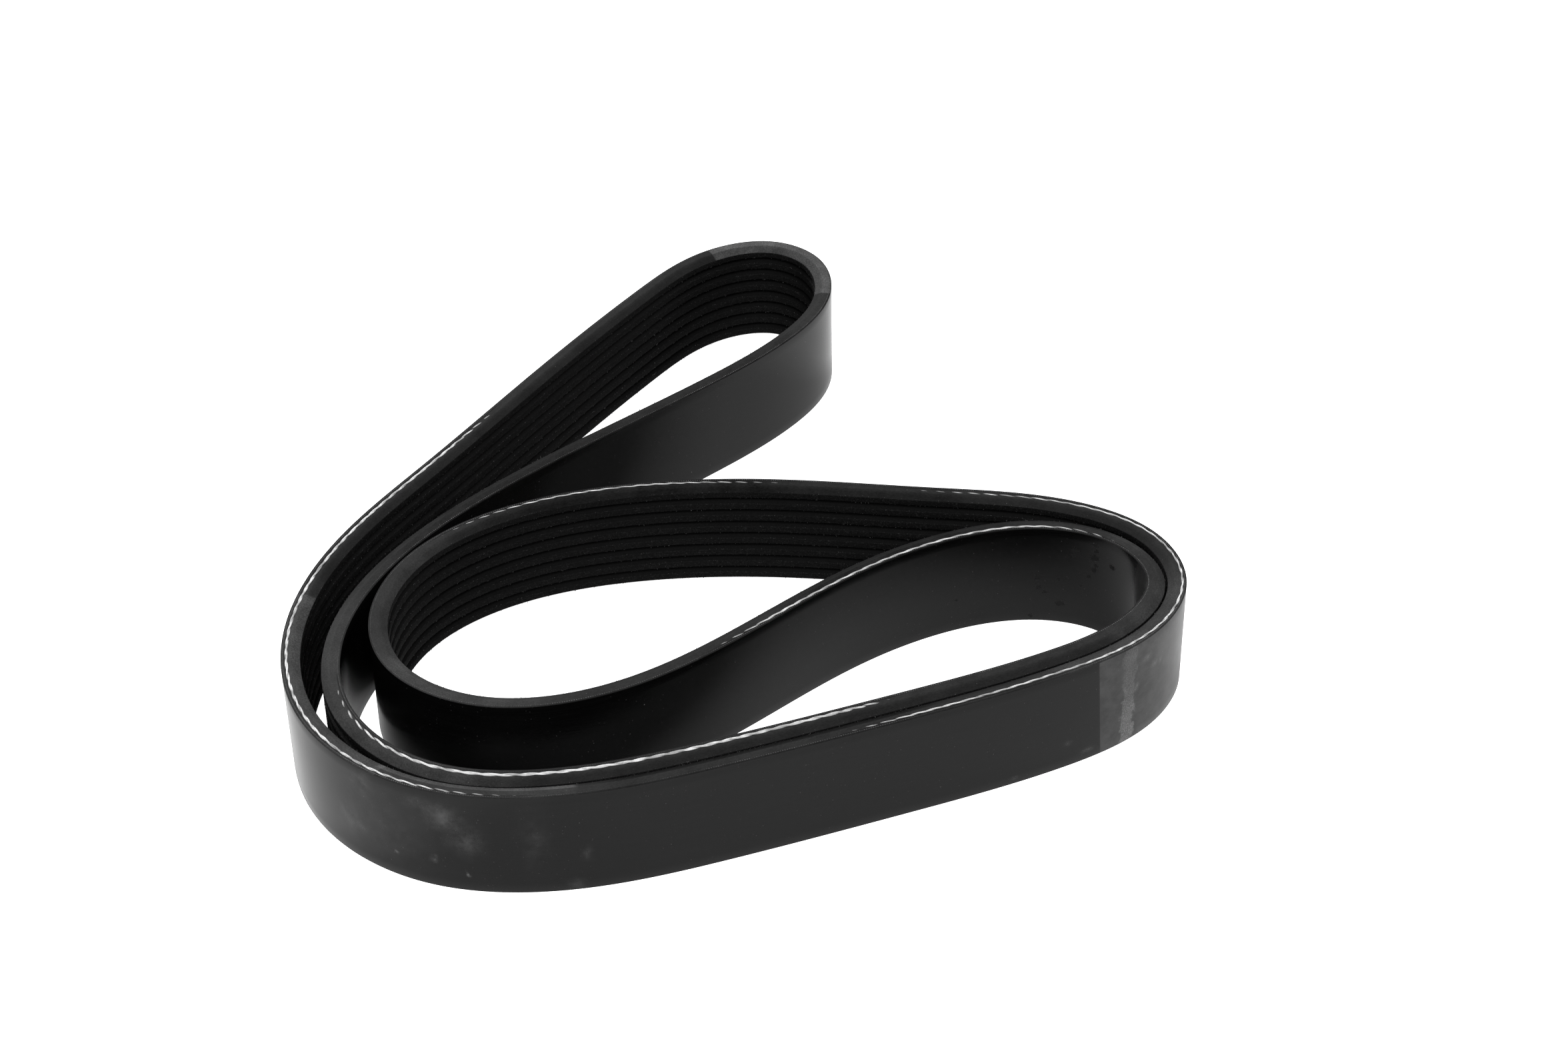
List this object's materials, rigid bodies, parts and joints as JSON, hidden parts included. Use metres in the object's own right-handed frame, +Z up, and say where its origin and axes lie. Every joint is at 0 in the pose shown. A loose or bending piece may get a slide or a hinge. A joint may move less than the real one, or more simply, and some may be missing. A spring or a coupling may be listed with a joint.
{
  "type": "serpentine belt",
  "caption": "Multi-rib drive belt of black rubber, lying on edge in a folded coil, with lengthwise ribs inside and a smooth back, for engine accessory drives.",
  "frame": {"origin": "centre of the coil's bounding box on the ground, where the lower cut edge stands", "axes": "+Z up across the belt's width, from the lower cut edge to the upper one; +Y from the wide folded end towards the tip of the tail loop; +X to the right as the coil is seen from the wide end"},
  "size_m": [0.212, 0.2248, 0.0285],
  "materials": {
    "belt_rubber": "matte black rubber with grey cut edges"
  },
  "bodies": {
    "root": {"serpentine_belt": "belt_rubber"}
  },
  "joints": []
}
